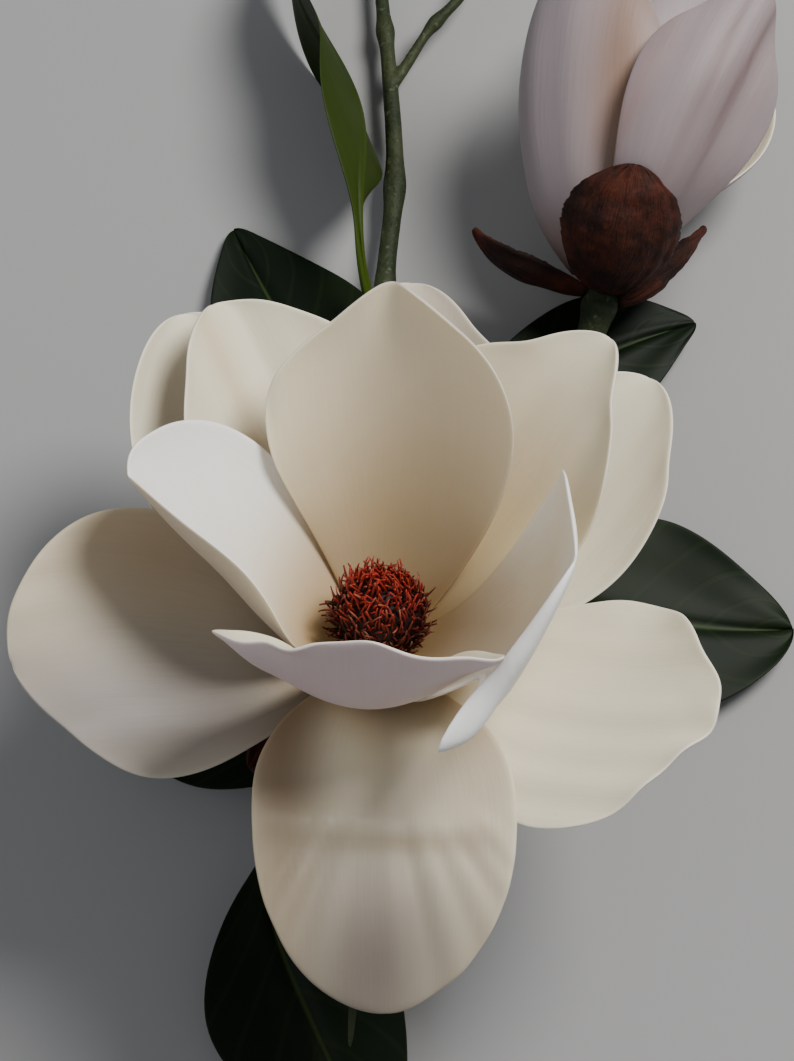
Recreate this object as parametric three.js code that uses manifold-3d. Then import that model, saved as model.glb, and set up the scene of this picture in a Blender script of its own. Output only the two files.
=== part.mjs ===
// A cut magnolia branch with one open bloom, one half-open bloom, leaves and a closed tip bud, lying on a
// flat surface with the open bloom facing up.
//
// Units are millimetres. +Z is up and the surface is z = 0. +Y runs along the branch, from its cut end to
// its tip, and +X is to the right of someone who looks along +Y.
//
// Petals, bud scales and leaves are all made as sheets: a midrib that bends away from an axis, an outline
// across it, and a cupped section. Stems are tapering tubes along curves.

import * as THREE from "three";
import Module from "manifold-3d";
import { mergeVertices } from "three/addons/utils/BufferGeometryUtils.js";

// ---------------------------------------------------------------- driving dimensions

const SEAT_GAP = 0.3; // between a foot and what carries it
const PETAL_THICKNESS = 1.5;
const LEAF_THICKNESS = 1.1;
const SCALE_THICKNESS = 1.6;

const BLOOM_TILT = 20; // degrees that the open bloom leans from straight up, towards the branch's tip
const BLOOM_HEIGHT = 64; // of the petals' feet over the surface
const RECEPTACLE_RADIUS = 8.5;
const RECEPTACLE_TOP = 6.5; // above the petals' feet, along the bloom's axis
const HEART_RADIUS = 24; // within it, petals' feet are fitted to one another
const CONE_HEIGHT = 25;
const CONE_RADIUS = 13;
const STAMEN_COUNT = 80;
const STAMEN_LENGTH = 8;

// The middle of the branch's footprint, in the coordinates used below.
const FOOTPRINT_MIDDLE = new THREE.Vector3(12.53, 91.7, 0);

// ---------------------------------------------------------------- colours

const finish = (color, roughness) =>
  new THREE.MeshStandardMaterial({ color, roughness, metalness: 0, side: THREE.DoubleSide });
const CREAM = finish(0xe6dfd0, 0.6);
const LEAF_GREEN = finish(0x1f3014, 0.45);
const YOUNG_GREEN = finish(0x3d5a1e, 0.5);
const BARK_GREEN = finish(0x2b4329, 0.6);
const SCALE_BROWN = finish(0x3a1712, 0.6);
const STAMEN_RED = finish(0x5a130c, 0.7);

// ---------------------------------------------------------------- small helpers

const rad = THREE.MathUtils.degToRad;
const vec = (x, y, z) => new THREE.Vector3(x, y, z);
const mix = (a, b, k) => a + (b - a) * k;
const ramp = (k) => THREE.MathUtils.smoothstep(k, 0, 1);

// The value at k, from 0 to 1, on a smooth curve through evenly spaced values.
function along(values, k) {
  const last = values.length - 1;
  const place = THREE.MathUtils.clamp(k, 0, 1) * last;
  const i = Math.min(Math.floor(place), last - 1);
  const f = place - i;
  const before = values[Math.max(i - 1, 0)];
  const after = values[Math.min(i + 2, last)];
  const [a, b] = [values[i], values[i + 1]];
  const slopeA = (b - before) / (i > 0 ? 2 : 1);
  const slopeB = (after - a) / (i + 2 <= last ? 2 : 1);
  const [f2, f3] = [f * f, f * f * f];
  return (2 * f3 - 3 * f2 + 1) * a + (f3 - 2 * f2 + f) * slopeA + (3 * f2 - 2 * f3) * b + (f3 - f2) * slopeB;
}

// The direction reached by turning from one direction towards another at right angles to it.
const turned = (from, to, angle) =>
  from.clone().multiplyScalar(Math.cos(angle)).addScaledVector(to, Math.sin(angle));

// A stand is where sheets grow from: an origin, an axis, and the direction of heading 0 across the axis.
function stand(origin, axis, front) {
  const a = axis.clone().normalize();
  const f = front.clone().addScaledVector(a, -front.dot(a)).normalize();
  return { origin, axis: a, front: f, side: f.clone().cross(a).negate() };
}

// The direction of a heading across a stand's axis.
const towards = (place, heading) => turned(place.front, place.side, heading);

// ---------------------------------------------------------------- sheets

// Half the outline's width at u, as a share of the greatest half width. A stalk takes the first stretch.
function outline(shape, u) {
  const { claw, widest, tipWidth, stalk } = shape;
  const v = Math.max(0, (u - stalk) / (1 - stalk));
  if (v < widest) return mix(claw, 1, Math.sin((Math.PI / 2) * (v / widest)) ** shape.rise);
  const k = (v - widest) / (1 - widest);
  return mix(1, tipWidth, k ** shape.fall);
}

const PETAL_SHAPE = {
  stalk: 0, claw: 0.24, widest: 0.6, tipWidth: 0.55, rise: 1.15, fall: 2.1, arch: 0.15, archPower: 2,
};
const LEAF_SHAPE = {
  stalk: 0.12, claw: 0.07, widest: 0.5, tipWidth: 0.18, rise: 1, fall: 1.6, arch: 0.05, archPower: 1.6,
};
const SCALE_SHAPE = {
  stalk: 0, claw: 0.4, widest: 0.5, tipWidth: 0.45, rise: 1, fall: 2, arch: 0.16, archPower: 1.6,
};

const SPINE_STEPS = 48;

// The points and directions of a sheet's midrib, one for each step along its length.
function spine(place, sheet) {
  const heading = rad(sheet.turn);
  const points = [];
  const radial = towards(place, heading);
  const across = towards(place, heading + Math.PI / 2);
  const [out, up] = sheet.foot;
  const at = place.origin.clone().addScaledVector(radial, out).addScaledVector(place.axis, up);
  for (let i = 0; i <= SPINE_STEPS; i++) {
    const k = i / SPINE_STEPS;
    const open = rad(along(sheet.open, k));
    const lean = rad(along(sheet.lean ?? [0, 0], k));
    const roll = rad(along(sheet.roll ?? [0, 0], k));
    const forward = turned(place.axis, radial, open);
    const inner = turned(radial.clone().negate(), place.axis, open);
    const tangent = turned(forward, across, lean);
    const sideways = turned(across, forward.clone().negate(), lean);
    points.push({
      at: at.clone(),
      side: turned(sideways, inner, roll),
      inner: turned(inner, sideways.clone().negate(), roll),
    });
    at.addScaledVector(tangent, sheet.length / SPINE_STEPS);
  }
  return points;
}

// The middle surface of a sheet. u runs from foot to tip, and t from -1 to 1 across it.
function surface(place, sheet) {
  const points = spine(place, sheet);
  const shape = { ...sheet.shape, ...sheet.outline };
  return (u, t) => {
    const reach = THREE.MathUtils.clamp(u - shape.arch * u ** 3 * Math.abs(t) ** shape.archPower, 0, 1);
    const step = Math.min(Math.floor(reach * SPINE_STEPS), SPINE_STEPS - 1);
    const f = reach * SPINE_STEPS - step;
    const [p, q] = [points[step], points[step + 1]];
    const halfWidth = (sheet.width / 2) * outline(shape, u);
    const bend = rad(along(sheet.cup, u));
    const sweep = bend * t;
    const across = Math.abs(bend) < 1e-3 ? halfWidth * t : (halfWidth * Math.sin(sweep)) / bend;
    const rise = Math.abs(bend) < 1e-3 ? 0 : (halfWidth * (1 - Math.cos(sweep))) / bend;
    const side = p.side.clone().lerp(q.side, f).normalize();
    const inner = p.inner.clone().lerp(q.inner, f).normalize();
    return p.at.clone().lerp(q.at, f).addScaledVector(side, across).addScaledVector(inner, rise);
  };
}

// A geometry of the given points and triangles.
function closed(points, triangles) {
  const geometry = new THREE.BufferGeometry();
  const places = points.flatMap((p) => p.toArray());
  geometry.setAttribute("position", new THREE.Float32BufferAttribute(places, 3));
  geometry.setIndex(triangles);
  return geometry;
}

// A closed solid of a sheet: its two faces stand half a thickness off the middle surface.
function sheetGeometry(place, sheet) {
  const middle = surface(place, sheet);
  const [rows, columns] = sheet.grid;
  const positions = [];
  const small = 1e-3;
  for (let i = 0; i <= rows; i++) {
    for (let j = 0; j <= columns; j++) {
      const u = i / rows;
      const t = (2 * j) / columns - 1;
      const p = middle(u, t);
      const du = middle(Math.min(u + small, 1), t).sub(middle(Math.max(u - small, 0), t));
      const dt = middle(u, Math.min(t + small, 1)).sub(middle(u, Math.max(t - small, -1)));
      const normal = du.cross(dt).normalize();
      const lengthwise = mix(sheet.footThickness, 1, ramp(u * 4));
      const half = (sheet.thickness * lengthwise * mix(1.15, 0.85, Math.abs(t))) / 2;
      p.z = Math.max(p.z, half);
      positions.push(p.clone().addScaledVector(normal, half), p.clone().addScaledVector(normal, -half));
    }
  }
  const index = (i, j, face) => 2 * (i * (columns + 1) + j) + face;
  const triangles = [];
  for (let i = 0; i < rows; i++) {
    for (let j = 0; j < columns; j++) {
      const leftHalf = j < columns / 2;
      for (const face of [0, 1]) {
        const [a, b] = [index(i, j, face), index(i, j + 1, face)];
        const [c, d] = [index(i + 1, j + 1, face), index(i + 1, j, face)];
        const pair = leftHalf ? [[a, b, c], [a, c, d]] : [[a, b, d], [b, c, d]];
        for (const [x, y, z] of pair) triangles.push(face ? [x, y, z] : [x, z, y]);
      }
    }
  }
  const wall = (a, b) => {
    triangles.push([a[0], b[0], a[1]], [a[1], b[0], b[1]]);
  };
  const corner = (i, j) => [index(i, j, 0), index(i, j, 1)];
  for (let j = 0; j < columns; j++) {
    wall(corner(0, j), corner(0, j + 1));
    wall(corner(rows, j + 1), corner(rows, j));
  }
  for (let i = 0; i < rows; i++) {
    wall(corner(i, columns), corner(i + 1, columns));
    wall(corner(i + 1, 0), corner(i, 0));
  }
  return closed(positions, triangles.flat());
}

// ---------------------------------------------------------------- solids

const wasm = await Module();
wasm.setup();

function solid(geometry) {
  const bare = geometry.index ? geometry.clone() : geometry;
  bare.deleteAttribute("normal");
  bare.deleteAttribute("uv");
  const merged = mergeVertices(bare, 1e-3);
  const vertProperties = merged.attributes.position.array;
  const triVerts = new Uint32Array(merged.index.array);
  return new wasm.Manifold(new wasm.Mesh({ numProp: 3, vertProperties, triVerts }));
}

const united = (solids) => solids.reduce((whole, next) => whole.add(next));

// The largest body of a solid, as a geometry: the scraps that a cut leaves are dropped.
function geometryOf(shape) {
  const body = shape.decompose().sort((p, q) => q.volume() - p.volume())[0];
  const { numProp, numVert, vertProperties, triVerts } = body.getMesh();
  const places = new Float32Array(numVert * 3);
  for (let i = 0; i < numVert; i++) places.set(vertProperties.subarray(i * numProp, i * numProp + 3), i * 3);
  const geometry = new THREE.BufferGeometry();
  geometry.setAttribute("position", new THREE.BufferAttribute(places, 3));
  geometry.setIndex(new THREE.BufferAttribute(triVerts, 1));
  return geometry;
}

// A closed tube along a curve, whose radius follows the given values. Both ends are flat.
function tube(points, radii, sides, steps, grow = 0) {
  const curve = new THREE.CatmullRomCurve3(points, false, "centripetal");
  const frames = curve.computeFrenetFrames(steps, false);
  const positions = [];
  for (let i = 0; i <= steps; i++) {
    const centre = curve.getPointAt(i / steps);
    const radius = along(radii, i / steps) + grow;
    for (let j = 0; j < sides; j++) {
      const turn = (2 * Math.PI * j) / sides;
      const p = centre.clone().addScaledVector(frames.normals[i], radius * Math.cos(turn));
      positions.push(p.addScaledVector(frames.binormals[i], radius * Math.sin(turn)));
    }
  }
  const ends = [positions.length, positions.length + 1];
  positions.push(curve.getPointAt(0), curve.getPointAt(1));
  const triangles = [];
  const at = (i, j) => i * sides + (j % sides);
  for (let i = 0; i < steps; i++) {
    for (let j = 0; j < sides; j++) {
      triangles.push(at(i, j), at(i, j + 1), at(i + 1, j + 1), at(i, j), at(i + 1, j + 1), at(i + 1, j));
    }
  }
  for (let j = 0; j < sides; j++) {
    triangles.push(ends[0], at(0, j + 1), at(0, j), ends[1], at(steps, j), at(steps, j + 1));
  }
  return closed(positions, triangles);
}

// Turns a geometry made round +Z so that +Z lies along a stand's axis, and moves it to the stand's origin.
function onStand(geometry, place, height) {
  const turn = new THREE.Matrix4().makeBasis(place.front, place.side, place.axis);
  const move = place.origin.clone().addScaledVector(place.axis, height);
  return geometry.applyMatrix4(turn.setPosition(move));
}

// ---------------------------------------------------------------- stands

const BLOOM_FOOT = vec(0, 0, BLOOM_HEIGHT);
const bloomAxis = vec(0, Math.sin(rad(BLOOM_TILT)), Math.cos(rad(BLOOM_TILT)));
const bloomStand = stand(BLOOM_FOOT, bloomAxis, vec(0, -1, 0));

const BUD_FOOT = vec(72, 137, 33);
const budAxis = vec(0.195, 0.965, 0.14);
const budStand = stand(BUD_FOOT, budAxis, vec(0, -0.37, 0.93));

// Leaves head over the surface: heading 0 is -Y, 90 is +X, 180 is +Y and -90 is -X.
const ground = (x, y, z) => stand(vec(x, y, z), vec(0, 0, 1), vec(0, -1, 0));

// ---------------------------------------------------------------- stems

const MAIN_STEM = [
  [-13, -188, 4.4], [-9, -109, 7], [-2.6, -45, 11], [0.4, 36, 13], [1, 90, 13], [1, 146, 12], [4.3, 188, 11],
  [2.3, 231, 10], [-0.2, 260, 9], [-3, 302, 8],
];
const MAIN_STEM_RADII = [4.4, 4.2, 3.9, 3.7, 3.4, 3.2, 3.1, 2.7, 2.4, 2.2];
const BLOOM_STALK = [[0.2, -28, 11.5], [0.2, -24, 18], [0, -16, 38], [0, -2.5, 57], [0, 2.2, 70]];
const BLOOM_STALK_RADII = [3.4, 3.4, 3.8, 5, 6];
const BUD_STALK = [[0.3, 8, 12.5], [22, 46, 14], [49, 86, 18], [66, 119, 25.5], [72, 137, 33]];
const BUD_STALK_RADII = [3, 3.2, 3.6, 4.6, 5.6];
const TIP_TWIG = [[2.4, 224, 10], [8.5, 233, 11.5], [16.4, 246, 13], [26, 257, 14], [33, 268, 14]];
const TIP_TWIG_RADII = [2.4, 2, 1.7, 1.9, 1.5];

const spots = (rows) => rows.map((row) => vec(...row));

function receptacle(radius, neck, depth, place, top, grow) {
  const cone = new THREE.CylinderGeometry(radius + grow, neck + grow, depth, 12).rotateX(Math.PI / 2);
  return solid(onStand(cone, place, top - depth / 2));
}

function stems(grow = 0) {
  return united([
    solid(tube(spots(MAIN_STEM), MAIN_STEM_RADII, 8, 40, grow)),
    solid(tube(spots(BLOOM_STALK), BLOOM_STALK_RADII, 8, 10, grow)),
    solid(tube(spots(BUD_STALK), BUD_STALK_RADII, 8, 16, grow)),
    solid(tube(spots(TIP_TWIG), TIP_TWIG_RADII, 6, 10, grow)),
    receptacle(RECEPTACLE_RADIUS, 6, 15, bloomStand, RECEPTACLE_TOP, grow),
    receptacle(7, 5.4, 14, budStand, 7, grow),
  ]);
}

// ---------------------------------------------------------------- petals

// A sideways or twisting bend that grows towards the tip.
const bow = (end) => [0, 0.35 * end, end];

const petal = (turn, open, more = {}) => ({
  turn, open, length: 106, width: 80, foot: [9, 0], shape: PETAL_SHAPE, thickness: PETAL_THICKNESS,
  footThickness: 0.9, grid: [8, 6], ...more,
});

// The open bloom, from its innermost petals to its outermost.
const BLOOM_PETALS = {
  inner_petal_back: petal(168, [74, 41, 25, 19], {
    foot: [7, 6], length: 104, width: 87, cup: [15, 50, 50, 25], lean: bow(15), roll: [0, -10],
    outline: { widest: 0.65, tipWidth: 0.45, arch: 0.1, archPower: 1.4 },
  }),
  inner_petal_front: petal(-6, [72, 47, 26, 6], {
    foot: [7, 6], length: 107, width: 84, cup: [15, 65, 45, 5],
    outline: { widest: 0.8, tipWidth: 0.6, arch: 0.1 },
  }),
  inner_petal_left: petal(-104, [73, 43, 39, 30], {
    foot: [8, 5], length: 91, width: 78, cup: [15, 45, 50, 35], lean: bow(15), roll: [0, 32],
    outline: { widest: 0.62, tipWidth: 0.52, arch: 0.1 },
  }),
  inner_petal_right: petal(60, [64, 45, 19, 17], {
    foot: [8.5, 4.5], length: 103, width: 89, cup: [15, 35, 25, 25], lean: bow(-10), roll: [0, 20],
    outline: { widest: 0.65, arch: 0.1 },
  }),
  middle_petal_right: petal(137, [66, 55, 50, 56], {
    foot: [9.5, 4], length: 105, width: 86, cup: [15, 35, 40, 35], lean: bow(-5), roll: [0, -10],
    outline: { widest: 0.55, tipWidth: 0.45 },
  }),
  middle_petal_left: petal(-155, [78, 63, 52, 54], {
    foot: [9.5, 4], length: 108, width: 78, cup: [15, 35, 40, 40], lean: bow(10), roll: [0, 15],
    outline: { widest: 0.55, tipWidth: 0.65 },
  }),
  outer_petal_front: petal(1, [64, 88, 115, 134], {
    length: 111, width: 75, cup: [15, 25, 10, -15], roll: [0, -10],
    outline: { widest: 0.5, tipWidth: 0.6, arch: 0.1 },
  }),
  outer_petal_right: petal(61, [74, 80, 64, 59], {
    length: 103, width: 81, cup: [15, 5, -5, 20], lean: bow(5), roll: [0, 15],
    outline: { tipWidth: 0.45, arch: 0.1 },
  }),
  outer_petal_left: petal(-82, [73, 73, 74, 99], {
    length: 101, width: 87, cup: [15, 15, 10, 20], lean: bow(10), roll: [0, -25],
    outline: { arch: 0.1 },
  }),
  outer_petal_back: petal(175, [72, 69, 62, 63], {
    length: 112, width: 82, cup: [15, 25, 35, 30], roll: [0, -5],
    outline: { widest: 0.55 },
  }),
  outer_petal_back_right: petal(129, [89, 80, 63, 65], {
    length: 114, width: 71, cup: [15, 20, 35, 35], lean: bow(15), roll: [0, 5],
    outline: { tipWidth: 0.7, arch: 0.2 },
  }),
  outer_petal_back_left: petal(-141, [88, 73, 55, 48], {
    length: 117, width: 76, cup: [15, 25, 35, 35], lean: bow(-15), roll: [0, 5],
    outline: { tipWidth: 0.6, arch: 0.1 },
  }),
};

const budPetal = (turn, open, more = {}) =>
  petal(turn, open, { length: 112, width: 68, cup: [20, 56, 54, 44], foot: [7, 3], grid: [7, 6], ...more });

// The half-open bloom, from its innermost petals to its outermost.
const BUD_PETALS = {
  bud_petal_heart: budPetal(40, [34, 16, 0, -12], { foot: [6, 4], width: 60 }),
  bud_petal_back_left: budPetal(-124, [30, 14, 0, -10], { foot: [6, 4], width: 60 }),
  bud_petal_back: budPetal(202, [34, 18, 4, -6], { foot: [7, 2.5], width: 50, cup: [20, 48, 52, 44] }),
  bud_petal_right: budPetal(130, [4, 42, 14, -1], {
    foot: [8, 1], length: 114, width: 50, cup: [20, 24, 16, 30], outline: { rise: 1.7 },
  }),
  bud_petal_left: budPetal(-44, [62, 26, 6, -8], {
    foot: [7.5, 1], length: 116, width: 74, cup: [20, 62, 64, 58], outline: { tipWidth: 0.65 },
  }),
  bud_petal_front: budPetal(14, [60, 42, 8, -6], {
    foot: [8.5, -0.5], width: 52, cup: [20, 32, 40, 42], lean: bow(22),
    outline: { widest: 0.68, tipWidth: 0.6, rise: 1.5 },
  }),
};

// ---------------------------------------------------------------- scales under the blooms

const scale = (turn, open, more = {}) => ({
  turn, open, length: 44, width: 34, cup: [30, 50, 40, 30], foot: [6.2, -4], shape: SCALE_SHAPE,
  thickness: SCALE_THICKNESS, footThickness: 0.8, grid: [5, 4], ...more,
});
const BLOOM_SCALES = {
  bloom_scale_left: scale(-50, [100, 104, 106, 104]),
  bloom_scale_right: scale(68, [100, 104, 108, 110]),
  bloom_scale_back: scale(190, [100, 100, 97, 95]),
};
const BUD_SCALES = {
  bud_scale_front: scale(0, [94, 68, 36, 14], {
    foot: [5.8, -4], length: 53, width: 47, cup: [30, 60, 60, 50], outline: { tipWidth: 0.75 },
  }),
  bud_scale_left: scale(-92, [90, 84, 62, 30], { foot: [5.8, -4], length: 44, width: 24 }),
  bud_scale_right: scale(88, [76, 38, 26, 18], { foot: [5.8, -5], length: 40, width: 24 }),
};

// ---------------------------------------------------------------- leaves

const leaf = (turn, length, width, more = {}) => ({
  turn, length, width, open: [80, 92, 97, 94], cup: [0, 14, 14, 8], foot: [0, 0], shape: LEAF_SHAPE,
  thickness: LEAF_THICKNESS, footThickness: 2.2, grid: [11, 6], ...more,
});
const LEAVES = {
  leaf_back_left: [ground(-1, 60, 12), leaf(-165, 124, 59, {
    open: [86, 96, 96, 93], lean: [0, 11, 10], outline: { tipWidth: 0.2 },
  })],
  leaf_back_right: [ground(2, 84, 13), leaf(107, 115, 44, {
    lean: [0, 17, 0], outline: { widest: 0.65, tipWidth: 0.25 },
  })],
  leaf_right: [ground(2, 40, 13), leaf(88, 130, 68, {
    open: [80, 93, 98, 94], lean: [0, -7, 6], outline: { widest: 0.6, tipWidth: 0.35 },
  })],
  leaf_left: [ground(-3, -22, 12), leaf(-106, 92, 38, { open: [78, 90, 100, 98] })],
  leaf_front: [ground(-3, -32, 11), leaf(-90, 148, 60, {
    open: [94, 94, 93, 94], lean: [-30, 93, 115, 105], outline: { stalk: 0.27, widest: 0.44, rise: 1.4 },
  })],
  leaf_upright: [ground(-1.5, 133, 13), leaf(183, 172, 56, {
    open: [23, 101, 91, 88], lean: [16, -5, 24, -17], roll: [-123, -120, -94, -88],
    outline: { stalk: 0.2, claw: 0.08, widest: 0.45, rise: 1.6 },
  })],
  leaf_tip_right: [ground(32, 267, 14), leaf(165, 100, 46, { open: [84, 92, 97, 94] })],
  leaf_tip_left: [ground(-3, 294, 9), leaf(212, 92, 42, { open: [76, 92, 96, 92] })],
};

// ---------------------------------------------------------------- stamens

// One stamen: a three-sided spike that curls over. It is rooted inside the core and stands out of it.
function stamen(place, turn, height, radius, lean, curl) {
  const out = towards(place, rad(turn));
  const path = [];
  const at = place.origin.clone().addScaledVector(place.axis, height).addScaledVector(out, radius);
  for (let i = 0; i <= 2; i++) {
    path.push(at.clone());
    const angle = rad(lean + curl * (i / 2));
    at.addScaledVector(out, (Math.sin(angle) * STAMEN_LENGTH) / 2);
    at.addScaledVector(place.axis, (Math.cos(angle) * STAMEN_LENGTH) / 2);
  }
  return solid(tube(path, [1.3, 1, 0.4], 3, 2));
}

// The cone in a bloom's middle: a core, and stamens set on it in a spiral.
function cone(place, foot, size, count) {
  const [r, h] = [CONE_RADIUS * size, CONE_HEIGHT * size];
  const profile = [[0, 0], [0.62, 0], [0.86, 0.18], [1, 0.42], [0.9, 0.7], [0.58, 0.92], [0, 1]];
  const core = new THREE.LatheGeometry(profile.map(([x, y]) => new THREE.Vector2(x * r, y * h)), 16);
  const parts = [solid(onStand(core.rotateX(Math.PI / 2), place, foot))];
  for (let i = 0; i < count; i++) {
    const k = (i + 0.5) / count;
    const height = foot + h * mix(0.3, 0.9, k);
    const radius = r * 0.9 * Math.sqrt(1 - mix(-0.3, 0.92, k) ** 2) - 1;
    parts.push(stamen(place, i * 137.5, height, radius, mix(70, 5, k), -30 - 15 * Math.sin(i * 2.4)));
  }
  return united(parts);
}

// The closed leaf bud at the branch's tip.
const TIP_STAND = stand(vec(-3, 302, 8), vec(-0.08, 1, 0), vec(0, 0, 1));
const TIP_BUD_PROFILE = [[0, 0], [2.2, 0], [3.4, 5], [3.3, 12], [1.6, 22], [0, 27]];

function tipBud(grow = 0) {
  const profile = TIP_BUD_PROFILE.map(([x, y]) => new THREE.Vector2(x > 0 ? x + grow : 0, y));
  return solid(onStand(new THREE.LatheGeometry(profile, 10).rotateX(Math.PI / 2), TIP_STAND, SEAT_GAP));
}

// ---------------------------------------------------------------- the assembly

const branch = new THREE.Group();

function add(name, shape, material) {
  const mesh = new THREE.Mesh(geometryOf(shape), material);
  mesh.name = name;
  branch.add(mesh);
}

const stemSeat = stems(SEAT_GAP);
add("stem", stems(), BARK_GREEN);

// The petals or scales of one bloom. Near the heart each is cut clear of those that come before it.
function addWhorl(place, sheets, material, taken) {
  const heart = new THREE.CylinderGeometry(HEART_RADIUS, HEART_RADIUS, 60, 24).rotateX(Math.PI / 2);
  const reach = solid(onStand(heart, place, 10));
  let cleared = taken;
  for (const [name, sheet] of Object.entries(sheets)) {
    add(name, solid(sheetGeometry(place, sheet)).subtract(cleared), material);
    const first = rad(sheet.open[0]);
    const foot = [sheet.foot[0] - Math.sin(first), sheet.foot[1] - Math.cos(first)];
    const room = { foot, length: sheet.length + 1, width: sheet.width + 2, footThickness: 1 };
    const grown = sheetGeometry(place, { ...sheet, ...room, thickness: sheet.thickness + 1 });
    cleared = cleared.add(solid(grown).intersect(reach));
  }
  return cleared;
}

const bloomTaken = addWhorl(bloomStand, BLOOM_PETALS, CREAM, stemSeat);
addWhorl(bloomStand, BLOOM_SCALES, SCALE_BROWN, bloomTaken);
const budTaken = addWhorl(budStand, BUD_PETALS, CREAM, stemSeat);
addWhorl(budStand, BUD_SCALES, SCALE_BROWN, budTaken);

add("stamens", cone(bloomStand, RECEPTACLE_TOP, 1, STAMEN_COUNT).subtract(bloomTaken), STAMEN_RED);
add("bud_stamens", cone(budStand, 7, 0.8, STAMEN_COUNT / 4).subtract(budTaken), STAMEN_RED);

add("tip_bud", tipBud(), YOUNG_GREEN);
const leafSeat = stemSeat.add(tipBud(SEAT_GAP));
for (const [name, [place, sheet]] of Object.entries(LEAVES)) {
  const green = name === "leaf_upright" ? YOUNG_GREEN : LEAF_GREEN;
  add(name, solid(sheetGeometry(place, sheet)).subtract(leafSeat), green);
}

branch.position.copy(FOOTPRINT_MIDDLE).negate();

export default branch;
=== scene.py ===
# The looks of a cut magnolia branch: fine petals, leaves, scales, stamens and bark in the place of the plain
# solids, with their materials, on a pale floor.
#
# Sizes are millimetres in the branch's drawing coordinates: the open bloom stands over x = y = 0, the floor
# is z = 0, +Y runs along the branch and +X is to the right. make_mesh() turns them into metres round the
# middle of the footprint, where the frame has its origin. Angles are in degrees.

import math

import bpy
import numpy as np
from mathutils import Matrix, Vector


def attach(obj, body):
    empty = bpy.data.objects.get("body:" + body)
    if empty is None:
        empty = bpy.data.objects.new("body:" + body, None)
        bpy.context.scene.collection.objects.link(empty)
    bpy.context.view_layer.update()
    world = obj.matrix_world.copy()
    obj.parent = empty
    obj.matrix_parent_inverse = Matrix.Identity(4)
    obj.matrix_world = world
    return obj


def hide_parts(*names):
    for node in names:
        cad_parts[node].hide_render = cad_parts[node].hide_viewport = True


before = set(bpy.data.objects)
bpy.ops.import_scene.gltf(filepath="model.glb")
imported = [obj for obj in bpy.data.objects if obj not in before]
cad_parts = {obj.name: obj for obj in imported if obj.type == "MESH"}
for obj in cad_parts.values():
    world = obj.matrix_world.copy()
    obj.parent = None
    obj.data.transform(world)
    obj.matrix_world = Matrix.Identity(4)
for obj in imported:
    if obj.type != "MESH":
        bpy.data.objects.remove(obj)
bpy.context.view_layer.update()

MM = 0.001
FOOTPRINT_MIDDLE = np.array([12.53, 91.7, 0.0])

PETAL_THICKNESS = 1.5
LEAF_THICKNESS = 1.1
SCALE_THICKNESS = 1.6
BLOOM_TILT = 20
BLOOM_HEIGHT = 64
RECEPTACLE_TOP = 6.5
RECEPTACLE_LENGTH = 15
BUD_RECEPTACLE_TOP = 7
CONE_HEIGHT = 25
CONE_RADIUS = 13
STAMEN_LENGTH = 6.4
GOLDEN_ANGLE = 137.5

# Rows and columns of faces on each kind of sheet, sides of each kind of tube, and points along a stamen.
BLOOM_PETAL_GRID = (64, 44)
BUD_PETAL_GRID = (60, 40)
SCALE_GRID = (48, 36)
LEAF_GRID = (84, 40)
STEM_SIDES = 16
CONE_SIDES = 24
STAMEN_SIDES = 5
STAMEN_POINTS = 7

CAMERA_ELEVATION = 68
CAMERA_DISTANCE = 820
CAMERA_TARGET = np.array([5, 33.7, 77.6])
PHOTO_HEIGHT = 1061
PIXELS_PER_MM = 3.4  # at the distance of the camera's target
SENSOR = 36

# These are in metres.
FLOOR_REACH = 3.0
LIGHT_AIM = (0, -0.05, 0.08)
STEM_VOXEL = 0.0006


# ---------------------------------------------------------------- curves and directions


def ramp(k):
    k = np.clip(k, 0, 1)
    return k * k * (3 - 2 * k)


def mix(a, b, k):
    return a + (b - a) * k


def unit(v):
    return v / np.linalg.norm(v, axis=-1, keepdims=True)


def along(values, k):
    """The value at k, from 0 to 1, on a smooth curve through evenly spaced values or points."""
    v = np.asarray(values, float)
    k = np.clip(np.asarray(k, float), 0, 1)
    last = len(v) - 1
    i = np.minimum(np.floor(k * last).astype(int), last - 1)
    f = k * last - i
    inside = (i > 0, i + 2 <= last)
    if v.ndim > 1:
        f = f[..., None]
        inside = tuple(x[..., None] for x in inside)
    slope_a = (v[i + 1] - v[np.maximum(i - 1, 0)]) / np.where(inside[0], 2.0, 1.0)
    slope_b = (v[np.minimum(i + 2, last)] - v[i]) / np.where(inside[1], 2.0, 1.0)
    f2 = f * f
    f3 = f2 * f
    first = (2 * f3 - 3 * f2 + 1) * v[i] + (f3 - 2 * f2 + f) * slope_a
    return first + (3 * f2 - 2 * f3) * v[i + 1] + (f3 - f2) * slope_b


def turned(start, end, angle):
    """The direction reached by turning from one direction towards another at right angles to it."""
    angle = np.asarray(angle)[..., None]
    return start * np.cos(angle) + end * np.sin(angle)


def stand(origin, axis, front):
    """Where sheets grow from: an origin, an axis, and the direction of heading 0 across the axis."""
    a = unit(np.array(axis, float))
    f = np.array(front, float)
    f = unit(f - a * (f @ a))
    return {"origin": np.array(origin, float), "axis": a, "front": f, "side": np.cross(a, f)}


def towards(place, heading):
    return turned(place["front"], place["side"], np.radians(heading))


BLOOM = stand(
    (0, 0, BLOOM_HEIGHT),
    (0, math.sin(math.radians(BLOOM_TILT)), math.cos(math.radians(BLOOM_TILT))),
    (0, -1, 0),
)
BUD = stand((72, 137, 33), (0.195, 0.965, 0.14), (0, -0.37, 0.93))
TIP = stand((-3, 302, 8), (-0.08, 1, 0), (0, 0, 1))


def ground(x, y, z):
    return stand((x, y, z), (0, 0, 1), (0, -1, 0))


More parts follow.
